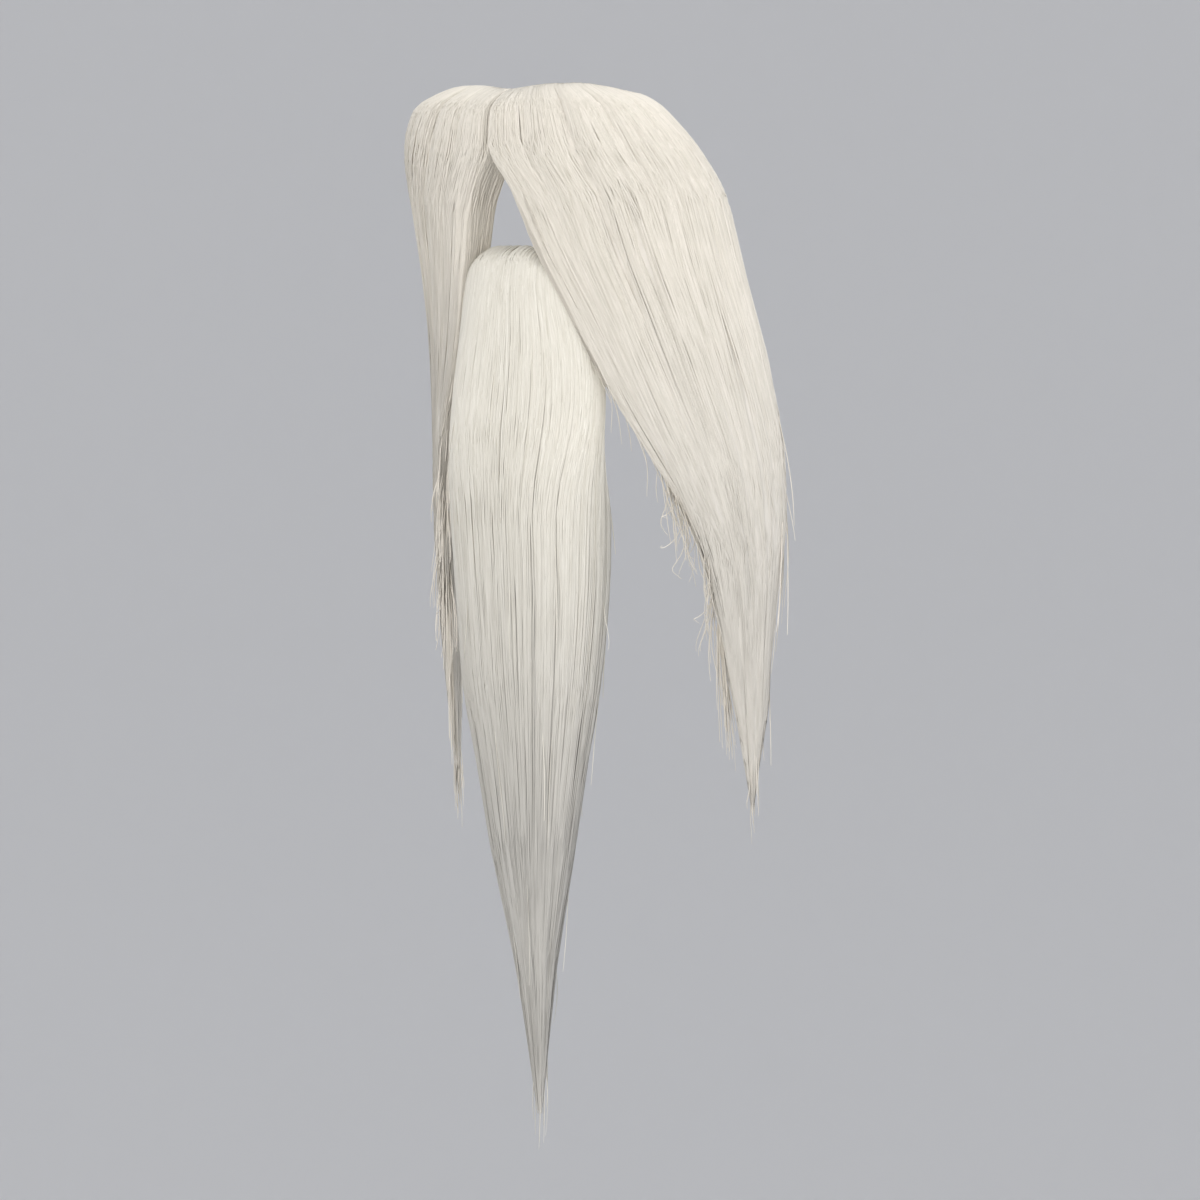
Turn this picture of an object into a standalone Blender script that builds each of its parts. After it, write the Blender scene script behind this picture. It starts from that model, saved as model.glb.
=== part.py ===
"""A false beard: a drooping moustache in two halves and a pointed chin tuft on one cloth foundation.

Metres, +Z up. The wearer looks along -Y and has +X on their left. The origin lies on the skin
under the nose, on the middle plane of the face. Hair is placed on a smooth surface that stands
for the skin: an arc measured round the face from the middle plane, a drop below the origin, and
a lift off the skin.
"""

import math
from collections import namedtuple

import bmesh
import bpy
from mathutils import Vector

# The face that the beard is shaped to
LIP_RADIUS = 0.070
CHEEK_RADIUS = 0.058
LIP_DROP = 0.027
CHIN_SETBACK = 0.003
SETBACK_START = 0.022
SETBACK_END = 0.060

# The moustache
MOUSTACHE_RISE = 0.004
MOUSTACHE_DROP = 0.1542
MOUSTACHE_SPREAD = 0.0610
MOUSTACHE_THICKNESS = 0.0085
PARTING_GAP = 0.0004

# The chin tuft: it lies on the chin down to HANG_START and hangs free from HANG_END, and
# CHIN_CROWN is how much thinner it is at its sides than at its middle on the chin
CHIN_TOP = 0.031
CHIN_LENGTH = 0.189
CHIN_WIDTH = 0.045
CHIN_DEPTH = 0.0246
CHIN_SWAY = 0.0045
CHIN_CROWN = 0.65
HANG_START = 0.062
HANG_END = 0.090

# The cloth foundation
CLOTH_THICKNESS = 0.0012
SEAT_GAP = 0.0004
HAIR_CLEARANCE = 0.0004

# A lock's section has its widest line at LOCK_BELLY of its height, narrows from TAPER_START of its
# length to TIP_SIZE, and at the tuft clings to the outside by LOCK_CLING as it narrows
LOCK_BELLY = 0.38
TAPER_START = 0.70
TIP_SIZE = 0.02
LOCK_CLING = 0.5

# How finely the solids are faceted
LOCK_SIDES = 10
LOCK_SECTIONS = 20
ROOT_CROWDING = 1.35
CLOTH_STEPS_ACROSS = 5
CLOTH_STEPS_BETWEEN = 3

# Drop as a share of MOUSTACHE_DROP, inner and outer edge as shares of MOUSTACHE_SPREAD, and
# thickness as a share of MOUSTACHE_THICKNESS
Edge = namedtuple("Edge", "drop inner outer thickness")
MOUSTACHE_EDGES = (
    Edge(drop=-0.026, inner=0.000, outer=0.42, thickness=0.45),
    Edge(drop=0.000, inner=0.000, outer=0.60, thickness=0.80),
    Edge(drop=0.032, inner=0.000, outer=0.69, thickness=0.95),
    Edge(drop=0.070, inner=0.000, outer=0.76, thickness=1.00),
    Edge(drop=0.130, inner=0.100, outer=0.83, thickness=0.92),
    Edge(drop=0.195, inner=0.150, outer=0.86, thickness=0.76),
    Edge(drop=0.290, inner=0.256, outer=0.90, thickness=0.62),
    Edge(drop=0.390, inner=0.369, outer=0.95, thickness=0.58),
    Edge(drop=0.486, inner=0.511, outer=0.99, thickness=0.58),
    Edge(drop=0.584, inner=0.645, outer=1.00, thickness=0.58),
    Edge(drop=0.640, inner=0.725, outer=0.985, thickness=0.56),
    Edge(drop=0.745, inner=0.762, outer=0.953, thickness=0.50),
    Edge(drop=0.843, inner=0.812, outer=0.943, thickness=0.42),
    Edge(drop=0.940, inner=0.856, outer=0.906, thickness=0.28),
    Edge(drop=1.000, inner=0.882, outer=0.888, thickness=0.06),
)

# A lock of the moustache lies between two shares of its width, low to high, at its root and at
# its end. Root is a share of MOUSTACHE_RISE, end a share of MOUSTACHE_DROP, height a share of the
# local thickness.
Lock = namedtuple("Lock", "root_low root_high end_low end_high root end height")
MOUSTACHE_LOCKS = (
    Lock(root_low=0.00, root_high=0.30, end_low=0.02, end_high=0.34, root=0.6, end=0.66, height=0.86),
    Lock(root_low=0.20, root_high=0.51, end_low=0.00, end_high=0.50, root=0.95, end=0.95, height=0.94),
    Lock(root_low=0.46, root_high=0.75, end_low=0.25, end_high=0.75, root=1.0, end=0.99, height=1.00),
    Lock(root_low=0.66, root_high=0.92, end_low=0.38, end_high=0.96, root=0.95, end=1.0, height=0.90),
    Lock(root_low=0.80, root_high=1.00, end_low=0.70, end_high=1.00, root=0.45, end=0.93, height=0.70),
)
MOUSTACHE_AT_CHIN = (0, 1)

# Drop as a share of CHIN_LENGTH below the tuft's top, width and depth as shares of CHIN_WIDTH and
# CHIN_DEPTH, and sway, how far the middle hangs back, as a share of CHIN_SWAY
Section = namedtuple("Section", "drop width depth sway")
CHIN_SECTIONS = (
    Section(drop=0.000, width=0.40, depth=0.14, sway=0.4),
    Section(drop=0.015, width=0.62, depth=0.20, sway=0.4),
    Section(drop=0.035, width=0.72, depth=0.25, sway=0.4),
    Section(drop=0.058, width=0.80, depth=0.30, sway=0.5),
    Section(drop=0.106, width=0.92, depth=0.38, sway=0.6),
    Section(drop=0.148, width=0.97, depth=0.44, sway=0.7),
    Section(drop=0.190, width=0.99, depth=0.51, sway=0.8),
    Section(drop=0.230, width=0.98, depth=0.68, sway=0.85),
    Section(drop=0.280, width=0.95, depth=0.93, sway=0.9),
    Section(drop=0.350, width=0.92, depth=1.00, sway=0.95),
    Section(drop=0.402, width=0.89, depth=0.98, sway=1.0),
    Section(drop=0.513, width=0.80, depth=0.88, sway=0.9),
    Section(drop=0.619, width=0.61, depth=0.68, sway=0.95),
    Section(drop=0.693, width=0.51, depth=0.58, sway=1.0),
    Section(drop=0.794, width=0.32, depth=0.39, sway=1.15),
    Section(drop=0.857, width=0.215, depth=0.27, sway=1.3),
    Section(drop=0.894, width=0.14, depth=0.18, sway=1.4),
    Section(drop=0.952, width=0.083, depth=0.11, sway=1.5),
    Section(drop=1.000, width=0.030, depth=0.05, sway=1.45),
)

# A lock of the tuft sits at a turn round its middle, in degrees from the wearer's left towards the
# front, at a share of its half width and depth, with a radius as such a share too. Root and end
# are shares of CHIN_LENGTH.
Strand = namedtuple("Strand", "turn out radius root end")
CHIN_LOCKS = (
    Strand(turn=0, out=0.60, radius=0.40, root=0.00, end=0.84),
    Strand(turn=42, out=0.60, radius=0.40, root=0.00, end=0.93),
    Strand(turn=88, out=0.62, radius=0.38, root=0.00, end=0.97),
    Strand(turn=135, out=0.60, radius=0.40, root=0.00, end=0.88),
    Strand(turn=180, out=0.60, radius=0.40, root=0.00, end=0.80),
    Strand(turn=232, out=0.56, radius=0.42, root=0.14, end=0.90),
    Strand(turn=280, out=0.56, radius=0.42, root=0.13, end=0.95),
    Strand(turn=325, out=0.58, radius=0.42, root=0.12, end=0.86),
)
CHIN_CORE = Strand(turn=0, out=0.0, radius=0.74, root=0.0, end=1.0)

# The ring of cloth from its top middle round to its bottom middle. Behind the moustache, arcs are
# shares of MOUSTACHE_SPREAD and drops shares of MOUSTACHE_DROP; behind the tuft, arcs are shares
# of half CHIN_WIDTH and drops shares of CHIN_TOP.
Station = namedtuple("Station", "outer_arc outer_drop inner_arc inner_drop")
CLOTH_BEHIND_MOUSTACHE = (
    Station(outer_arc=0.00, outer_drop=-0.004, inner_arc=0.000, inner_drop=0.050),
    Station(outer_arc=0.22, outer_drop=-0.010, inner_arc=0.045, inner_drop=0.075),
    Station(outer_arc=0.44, outer_drop=0.000, inner_arc=0.105, inner_drop=0.110),
    Station(outer_arc=0.61, outer_drop=0.055, inner_arc=0.155, inner_drop=0.145),
    Station(outer_arc=0.72, outer_drop=0.130, inner_arc=0.188, inner_drop=0.175),
    Station(outer_arc=0.76, outer_drop=0.220, inner_arc=0.205, inner_drop=0.202),
    Station(outer_arc=0.72, outer_drop=0.300, inner_arc=0.195, inner_drop=0.226),
)
CLOTH_BEHIND_TUFT = (
    Station(outer_arc=1.58, outer_drop=1.68, inner_arc=0.42, inner_drop=1.20),
    Station(outer_arc=1.00, outer_drop=1.80, inner_arc=0.27, inner_drop=1.22),
    Station(outer_arc=0.50, outer_drop=1.94, inner_arc=0.13, inner_drop=1.23),
    Station(outer_arc=0.00, outer_drop=2.02, inner_arc=0.00, inner_drop=1.23),
)

BUILD_NAME = "false_beard"
IVORY_HAIR = (0.88, 0.855, 0.79, 1.0)
COOL_HAIR = (0.86, 0.845, 0.80, 1.0)
BEARD_CLOTH = (0.80, 0.72, 0.62, 1.0)


def smooth(start, stop, value):
    """Rise from 0 to 1 between two values, level at both."""
    share = min(max((value - start) / (stop - start), 0.0), 1.0)
    return share * share * (3.0 - 2.0 * share)


def mix(low, high, share):
    """Go from one value to another by a share."""
    return low + (high - low) * share


def along(table, column, key):
    """Read a table's column at a drop, on a smooth curve through its rows."""
    drops = [row.drop for row in table]
    values = [getattr(row, column) for row in table]
    key = min(max(key, drops[0]), drops[-1])
    after = next(index for index in range(1, len(drops)) if key <= drops[index])
    before = after - 1
    span = drops[after] - drops[before]

    def slope(index):
        left = max(index - 1, 0)
        right = min(index + 1, len(drops) - 1)
        return (values[right] - values[left]) / (drops[right] - drops[left])

    share = (key - drops[before]) / span
    squared = share * share
    cubed = squared * share
    return ((2 * cubed - 3 * squared + 1) * values[before]
            + (cubed - 2 * squared + share) * span * slope(before)
            + (3 * squared - 2 * cubed) * values[after]
            + (cubed - squared) * span * slope(after))


def face_radius(drop):
    """Give the face's radius at a drop: flat at the lip, rounder from the mouth down."""
    return mix(LIP_RADIUS, CHEEK_RADIUS, smooth(0.0, LIP_DROP, drop))


def face_setback(drop):
    """Give how far the chin stands behind the lip at a drop."""
    return CHIN_SETBACK * smooth(SETBACK_START, SETBACK_END, drop)


def face_point(arc, drop, lift):
    """Place a point by its arc round the face, its drop and its lift off the skin."""
    radius = face_radius(drop)
    turn = arc / radius
    return Vector((
        (radius + lift) * math.sin(turn),
        radius - (radius + lift) * math.cos(turn) + face_setback(drop),
        -drop,
    ))


def tip_taper(share):
    """Round a lock off to its tip over its last stretch."""
    if share <= TAPER_START:
        return 1.0
    past = (share - TAPER_START) / (1.0 - TAPER_START)
    return max(math.sqrt(1.0 - past ** 2), TIP_SIZE)


def moustache_ring(lock, side, share, grow):
    """Give one section of a moustache lock, in points round it, grown by a clearance."""
    root = -MOUSTACHE_RISE * lock.root
    drop = mix(root, MOUSTACHE_DROP * lock.end, share ** ROOT_CROWDING)
    level = drop / MOUSTACHE_DROP
    inner = along(MOUSTACHE_EDGES, "inner", level) * MOUSTACHE_SPREAD + PARTING_GAP / 2
    outer = along(MOUSTACHE_EDGES, "outer", level) * MOUSTACHE_SPREAD
    low = mix(inner, outer, mix(lock.root_low, lock.end_low, share))
    high = mix(inner, outer, mix(lock.root_high, lock.end_high, share))
    taper = tip_taper(share)
    middle = (low + high) / 2
    half_width = (high - low) / 2 * taper + grow
    height = along(MOUSTACHE_EDGES, "thickness", level) * MOUSTACHE_THICKNESS * lock.height * taper
    seat = CLOTH_THICKNESS + SEAT_GAP
    belly = seat + height * LOCK_BELLY
    points = []
    for index in range(LOCK_SIDES):
        turn = 2 * math.pi * index / LOCK_SIDES
        rise = math.sin(turn)
        reach = height * (1 - LOCK_BELLY if rise > 0 else LOCK_BELLY)
        lift = belly + rise * (reach + grow)
        points.append(face_point(side * (middle + half_width * math.cos(turn)), drop, lift))
    return points


def chin_point(across, forward, drop_share):
    """Place a point of the tuft from its place in a unit circle and its share of the length."""
    drop = CHIN_TOP + drop_share * CHIN_LENGTH
    half_width = along(CHIN_SECTIONS, "width", drop_share) * CHIN_WIDTH / 2
    half_depth = along(CHIN_SECTIONS, "depth", drop_share) * CHIN_DEPTH / 2
    sway = along(CHIN_SECTIONS, "sway", drop_share) * CHIN_SWAY
    seat = CLOTH_THICKNESS + SEAT_GAP
    crown = 1 - CHIN_CROWN * across ** 2
    on_chin = face_point(half_width * across, drop, seat + half_depth * (1 + forward) * crown)
    hanging = Vector((half_width * across, sway - half_depth * forward, -drop))
    return on_chin.lerp(hanging, smooth(HANG_START, HANG_END, drop))


def chin_ring(strand, share):
    """Give one section of a lock of the tuft, in points round it."""
    drop_share = mix(strand.root, strand.end, share ** ROOT_CROWDING)
    radius = strand.radius * tip_taper(share)
    out = strand.out + (strand.radius - radius) * LOCK_CLING
    across = out * math.cos(math.radians(strand.turn))
    forward = out * math.sin(math.radians(strand.turn))
    points = []
    for index in range(LOCK_SIDES):
        turn = 2 * math.pi * index / LOCK_SIDES
        points.append(chin_point(
            across + radius * math.cos(turn), forward + radius * math.sin(turn), drop_share))
    return points


def loft(name, rings, collection, material=None):
    """Make a closed solid through a list of rings of points."""
    mesh = bmesh.new()
    rows = [[mesh.verts.new(point) for point in ring] for ring in rings]
    for upper, lower in zip(rows, rows[1:]):
        for index in range(len(upper)):
            following = (index + 1) % len(upper)
            mesh.faces.new((upper[index], upper[following], lower[following], lower[index]))
    mesh.faces.new(rows[0])
    mesh.faces.new(rows[-1])
    bmesh.ops.triangulate(mesh, faces=list(mesh.faces))
    bmesh.ops.recalc_face_normals(mesh, faces=list(mesh.faces))
    data = bpy.data.meshes.new(name)
    mesh.to_mesh(data)
    mesh.free()
    piece = bpy.data.objects.new(name, data)
    collection.objects.link(piece)
    if material:
        data.materials.append(material)
    return piece


def new_collection(name):
    """Add a collection to the scene."""
    collection = bpy.data.collections.new(name)
    bpy.context.scene.collection.children.link(collection)
    return collection


def hide_guide(piece):
    """Keep a lock that is fused or cut away out of the finished model."""
    piece.hide_render = True
    piece.display_type = "WIRE"


def combine(piece, operation, guides):
    """Join a collection of solids to a piece one by one, or cut them from it."""
    for guide in guides.objects:
        modifier = piece.modifiers.new(guide.name, "BOOLEAN")
        modifier.operation = operation
        modifier.solver = "EXACT"
        modifier.object = guide


def make_material(name, colour, roughness):
    """Make a plain finish."""
    material = bpy.data.materials.new(name)
    material.use_nodes = True
    shader = material.node_tree.nodes["Principled BSDF"]
    shader.inputs["Base Color"].default_value = colour
    shader.inputs["Roughness"].default_value = roughness
    shader.inputs["Metallic"].default_value = 0.0
    return material


def section_shares():
    """Give the shares of a lock's length that carry a section."""
    return [index / (LOCK_SECTIONS - 1) for index in range(LOCK_SECTIONS)]


def build_moustache_half(name, side, parts, material):
    """Loft the locks of one half and fuse them into one solid."""
    locks = new_collection(name + "_locks")
    half = None
    for index, lock in enumerate(MOUSTACHE_LOCKS):
        rings = [moustache_ring(lock, side, share, 0.0) for share in section_shares()]
        if index == len(MOUSTACHE_LOCKS) // 2:
            half = loft(name, rings, parts, material)
        else:
            hide_guide(loft(f"{name}_lock_{index}", rings, locks, material))
    combine(half, "UNION", locks)
    return half


def build_chin_beard(parts, material):
    """Fuse the tuft's locks to its core, then clear the moustache's inner locks."""
    name = "chin_beard"
    locks = new_collection(name + "_locks")
    rings = [chin_ring(CHIN_CORE, share) for share in section_shares()]
    tuft = loft(name, rings, parts, material)
    for index, strand in enumerate(CHIN_LOCKS):
        rings = [chin_ring(strand, share) for share in section_shares()]
        hide_guide(loft(f"{name}_lock_{index}", rings, locks, material))
    combine(tuft, "UNION", locks)
    cutters = new_collection(name + "_cutters")
    for side in (1, -1):
        for index in MOUSTACHE_AT_CHIN:
            lock = MOUSTACHE_LOCKS[index]
            rings = [moustache_ring(lock, side, share, HAIR_CLEARANCE) for share in section_shares()]
            hide_guide(loft(f"{name}_cutter_{index}_{side}", rings, cutters))
    combine(tuft, "DIFFERENCE", cutters)
    return tuft


def cloth_outline():
    """Give the ring's stations in metres, from its top middle to its bottom middle."""
    stations = []
    for row in CLOTH_BEHIND_MOUSTACHE:
        stations.append(Station(
            row.outer_arc * MOUSTACHE_SPREAD, row.outer_drop * MOUSTACHE_DROP,
            row.inner_arc * MOUSTACHE_SPREAD, row.inner_drop * MOUSTACHE_DROP))
    for row in CLOTH_BEHIND_TUFT:
        stations.append(Station(
            row.outer_arc * CHIN_WIDTH / 2, row.outer_drop * CHIN_TOP,
            row.inner_arc * CHIN_WIDTH / 2, row.inner_drop * CHIN_TOP))
    return stations


def between(stations, index, share):
    """Round the outline between a station and the next one."""
    def station(place):
        if place < 0:
            row = stations[-place]
            return (-row.outer_arc, row.outer_drop, -row.inner_arc, row.inner_drop)
        if place >= len(stations):
            row = stations[2 * (len(stations) - 1) - place]
            return (-row.outer_arc, row.outer_drop, -row.inner_arc, row.inner_drop)
        return tuple(stations[place])

    rows = [station(index + offset) for offset in (-1, 0, 1, 2)]
    values = []
    for before, start, stop, after in zip(*rows):
        values.append(0.5 * (2 * start + (stop - before) * share
                             + (2 * before - 5 * start + 4 * stop - after) * share ** 2
                             + (3 * start - before - 3 * stop + after) * share ** 3))
    return Station(*values)


def build_foundation(parts, material):
    """Lay the cloth ring on the face as an open surface and give it its thickness outwards."""
    stations = cloth_outline()
    half = []
    for index in range(len(stations) - 1):
        for step in range(CLOTH_STEPS_BETWEEN):
            half.append(between(stations, index, step / CLOTH_STEPS_BETWEEN))
    half.append(stations[-1])
    mirrored = [Station(-row.outer_arc, row.outer_drop, -row.inner_arc, row.inner_drop)
                for row in half[-2:0:-1]]
    ring = half + mirrored
    mesh = bmesh.new()
    rows = []
    for row in ring:
        line = []
        for step in range(CLOTH_STEPS_ACROSS + 1):
            share = step / CLOTH_STEPS_ACROSS
            arc = mix(row.inner_arc, row.outer_arc, share)
            drop = mix(row.inner_drop, row.outer_drop, share)
            line.append(mesh.verts.new(face_point(arc, drop, 0.0)))
        rows.append(line)
    for index, line in enumerate(rows):
        following = rows[(index + 1) % len(rows)]
        for step in range(CLOTH_STEPS_ACROSS):
            mesh.faces.new((line[step], following[step], following[step + 1], line[step + 1]))
    bmesh.ops.recalc_face_normals(mesh, faces=list(mesh.faces))
    mesh.faces.ensure_lookup_table()
    if mesh.faces[0].normal.y > 0:
        bmesh.ops.reverse_faces(mesh, faces=list(mesh.faces))
    data = bpy.data.meshes.new("foundation")
    mesh.to_mesh(data)
    mesh.free()
    data.materials.append(material)
    foundation = bpy.data.objects.new("foundation", data)
    parts.objects.link(foundation)
    wall = foundation.modifiers.new("Cloth", "SOLIDIFY")
    wall.thickness = CLOTH_THICKNESS
    wall.offset = 1.0
    return foundation


def main():
    """Build the beard."""
    for piece in list(bpy.data.objects):
        bpy.data.objects.remove(piece)
    parts = new_collection(BUILD_NAME)
    ivory = make_material("Ivory fibre", IVORY_HAIR, 0.45)
    cool = make_material("Cool ivory fibre", COOL_HAIR, 0.45)
    cloth = make_material("Beard cloth", BEARD_CLOTH, 0.9)
    build_foundation(parts, cloth)
    build_moustache_half("moustache_left", 1, parts, cool)
    build_moustache_half("moustache_right", -1, parts, cool)
    build_chin_beard(parts, ivory)


main()
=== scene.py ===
"""Looks of a false beard: combed ivory fibre on a cloth foundation, in a plain studio.

The hair lies on the same smooth surface as the solids that it stands for. A place on it is an arc
measured round the face from the middle plane, a drop below the nose, and a lift off the skin. A
bundle of fibres has an underlay, a plain combed body, and over it a coat of single fibres.
"""

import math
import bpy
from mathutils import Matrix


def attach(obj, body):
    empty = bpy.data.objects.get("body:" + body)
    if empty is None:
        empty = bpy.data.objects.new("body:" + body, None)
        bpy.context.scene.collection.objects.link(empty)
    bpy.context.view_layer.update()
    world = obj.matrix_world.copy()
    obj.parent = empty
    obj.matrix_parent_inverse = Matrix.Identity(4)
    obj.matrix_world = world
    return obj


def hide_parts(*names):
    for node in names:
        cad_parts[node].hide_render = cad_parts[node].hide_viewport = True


bl_info = {
    "name": "False Beard Looks",
    "version": (1, 0, 0),
    "blender": (4, 5, 0),
    "location": "View3D > Sidebar > False Beard",
    "description": "Covers a false beard's solids with combed fibre and sets up a plain studio",
    "category": "Object",
}

from collections import namedtuple

import bpy
import numpy as np
from mathutils import Vector

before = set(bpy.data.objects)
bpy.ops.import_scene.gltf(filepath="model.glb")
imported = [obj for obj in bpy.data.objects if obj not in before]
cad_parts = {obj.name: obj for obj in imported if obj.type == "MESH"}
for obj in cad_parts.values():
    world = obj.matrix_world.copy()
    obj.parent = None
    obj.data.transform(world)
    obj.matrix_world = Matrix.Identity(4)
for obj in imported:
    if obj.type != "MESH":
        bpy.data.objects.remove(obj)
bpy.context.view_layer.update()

# The face that the beard is shaped to
LIP_RADIUS = 0.070
CHEEK_RADIUS = 0.058
LIP_DROP = 0.027
CHIN_SETBACK = 0.003
SETBACK_START = 0.022
SETBACK_END = 0.060

# The moustache, the tuft and the seat of both on the cloth
MOUSTACHE_RISE = 0.004
MOUSTACHE_DROP = 0.1542
MOUSTACHE_SPREAD = 0.0610
MOUSTACHE_THICKNESS = 0.0085
PARTING_GAP = 0.0004
CHIN_TOP = 0.031
CHIN_LENGTH = 0.189
CHIN_WIDTH = 0.045
CHIN_DEPTH = 0.0246
CHIN_SWAY = 0.0045
CHIN_CROWN = 0.65
HANG_START = 0.062
HANG_END = 0.090
HAIR_SEAT = 0.0016
LOCK_BELLY = 0.38
TAPER_START = 0.70
TIP_SIZE = 0.02
ROOT_CROWDING = 1.35

# Drop as a share of MOUSTACHE_DROP, inner and outer edge as shares of MOUSTACHE_SPREAD, and
# thickness as a share of MOUSTACHE_THICKNESS
Edge = namedtuple("Edge", "drop inner outer thickness")
MOUSTACHE_EDGES = (
    Edge(-0.026, 0.000, 0.42, 0.45),
    Edge(0.000, 0.000, 0.60, 0.80),
    Edge(0.032, 0.000, 0.69, 0.95),
    Edge(0.070, 0.000, 0.76, 1.00),
    Edge(0.130, 0.100, 0.83, 0.92),
    Edge(0.195, 0.150, 0.86, 0.76),
    Edge(0.290, 0.256, 0.90, 0.62),
    Edge(0.390, 0.369, 0.95, 0.58),
    Edge(0.486, 0.511, 0.99, 0.58),
    Edge(0.584, 0.645, 1.00, 0.58),
    Edge(0.640, 0.725, 0.985, 0.56),
    Edge(0.745, 0.762, 0.953, 0.50),
    Edge(0.843, 0.812, 0.943, 0.42),
    Edge(0.940, 0.856, 0.906, 0.28),
    Edge(1.000, 0.882, 0.888, 0.06),
)

# A lock of the moustache: the shares of the half's width between which it lies at its root and at
# its end, how far up and down it runs, and its height as a share of the hair's thickness
Lock = namedtuple("Lock", "root_low root_high end_low end_high root end height")
MOUSTACHE_LOCKS = (
    Lock(0.00, 0.30, 0.02, 0.34, 0.6, 0.66, 0.86),
    Lock(0.20, 0.51, 0.00, 0.50, 0.95, 0.95, 0.94),
    Lock(0.46, 0.75, 0.25, 0.75, 1.0, 0.99, 1.00),
    Lock(0.66, 0.92, 0.38, 0.96, 0.95, 1.0, 0.90),
    Lock(0.80, 1.00, 0.70, 1.00, 0.45, 0.93, 0.70),
)

# The line that the moustache's fibres spring from: how high it stands, as a share of
# MOUSTACHE_RISE, at a share of the half's width, here the column drop
RootLine = namedtuple("RootLine", "drop rise")
MOUSTACHE_ROOTS = (
    RootLine(0.00, 0.74),
    RootLine(0.18, 0.86),
    RootLine(0.36, 0.97),
    RootLine(0.60, 1.00),
    RootLine(0.80, 0.95),
    RootLine(0.92, 0.72),
    RootLine(1.00, 0.35),
)

# A crease down the moustache: its place across the half at its top, a third down and at its foot,
# the shares of MOUSTACHE_DROP between which it runs, and its depth and half width in metres
Crease = namedtuple("Crease", "top third foot start end depth width")
MOUSTACHE_CREASES = (
    Crease(0.70, 0.56, 0.50, -0.01, 0.50, 0.0007, 0.0009),
    Crease(0.86, 0.78, 0.74, 0.00, 0.17, 0.0003, 0.0006),
    Crease(0.50, 0.38, 0.33, 0.13, 0.42, 0.0005, 0.0005),
    Crease(0.60, 0.60, 0.52, 0.52, 0.74, 0.0008, 0.0008),
)

# Drop as a share of CHIN_LENGTH below the tuft's top, width and depth as shares of CHIN_WIDTH and
# CHIN_DEPTH, and sway as a share of CHIN_SWAY
Section = namedtuple("Section", "drop width depth sway")
CHIN_SECTIONS = (
    Section(0.000, 0.40, 0.14, 0.4),
    Section(0.015, 0.62, 0.20, 0.4),
    Section(0.035, 0.72, 0.25, 0.4),
    Section(0.058, 0.80, 0.30, 0.5),
    Section(0.106, 0.92, 0.38, 0.6),
    Section(0.148, 0.97, 0.44, 0.7),
    Section(0.190, 0.99, 0.51, 0.8),
    Section(0.230, 0.98, 0.68, 0.85),
    Section(0.280, 0.95, 0.93, 0.9),
    Section(0.350, 0.92, 1.00, 0.95),
    Section(0.402, 0.89, 0.98, 1.0),
    Section(0.513, 0.80, 0.88, 0.9),
    Section(0.619, 0.61, 0.68, 0.95),
    Section(0.693, 0.51, 0.58, 1.0),
    Section(0.794, 0.32, 0.39, 1.15),
    Section(0.857, 0.215, 0.27, 1.3),
    Section(0.894, 0.14, 0.18, 1.4),
    Section(0.952, 0.083, 0.11, 1.5),
    Section(1.000, 0.030, 0.05, 1.45),
)

# How far the combed hair fills out the tuft's front, in metres, at a share of the tuft's length
Filling = namedtuple("Filling", "drop lift")
CHIN_FILLING = (
    Filling(0.18, 0.0),
    Filling(0.238, 0.00025),
    Filling(0.259, 0.00065),
    Filling(0.280, 0.0014),
    Filling(0.312, 0.00235),
    Filling(0.339, 0.0017),
    Filling(0.376, 0.0014),
    Filling(0.418, 0.0011),
    Filling(0.471, 0.0007),
    Filling(0.530, 0.0002),
    Filling(0.600, 0.0),
)

# A lock of the tuft, at a turn in degrees from the wearer's left towards the front
Strand = namedtuple("Strand", "turn out radius root end")
CHIN_LOCKS = (
    Strand(0, 0.60, 0.40, 0.00, 0.84),
    Strand(42, 0.60, 0.40, 0.00, 0.93),
    Strand(88, 0.62, 0.38, 0.00, 0.97),
    Strand(135, 0.60, 0.40, 0.00, 0.88),
    Strand(180, 0.60, 0.40, 0.00, 0.80),
    Strand(232, 0.56, 0.42, 0.14, 0.90),
    Strand(280, 0.56, 0.42, 0.13, 0.95),
    Strand(325, 0.58, 0.42, 0.12, 0.86),
)
CHIN_CORE_RADIUS = 0.74

# How sharply locks that cross are told apart
LOCK_BLEND = 12
STRAND_BLEND = 7

# Shares of a fibre's length that carry a point, closer together where the hair bends
MOUSTACHE_SHARES = (0.0, 0.0006, 0.0032, 0.0084, 0.017, 0.029, 0.052, 0.084, 0.13, 0.195, 0.286, 0.40,
                    0.545, 0.70, 0.857, 1.0)
CHIN_SHARES = (0.0, 0.0012, 0.0045, 0.010, 0.018, 0.05, 0.11, 0.165, 0.21, 0.25, 0.285, 0.325, 0.38,
               0.44, 0.50, 0.57, 0.69, 0.84, 1.0)
STRAY_POINTS = 16
FIBRE_SIDES = 3
FIBRE_TIP = 0.3
STRAY_TIP = 0.6
MOUSTACHE_SHARE_SPREAD = 0.13
CHIN_SHARE_SPREAD = 0.05
ROOT_ROLL = 0.0050
CHIN_ROLL = 0.0030
CHIN_ROOT_END = 0.058
PARTING_FULLNESS = 6.0
LOCK_FULLNESS = 2.2
PARTING_RISE = 0.18
# How much darker a crease's fibres are painted for each metre of its depth: painted shade in the creases
CREASE_SHADE = 300.0
UNDERLAY_DEPTH = 0.962
CHIN_UNDERLAY_DEPTH = 0.97
UNDERLAY_SECTIONS = 46
UNDERLAY_PLACES = 30
UNDERLAY_START = 0.0006
UNDERLAY_END = 0.985
UNDERLAY_INSET = 0.02
CHIN_UNDERLAY_SECTIONS = 60
CHIN_UNDERLAY_START = 0.003
CHIN_UNDERLAY_SIDES = 64

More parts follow.
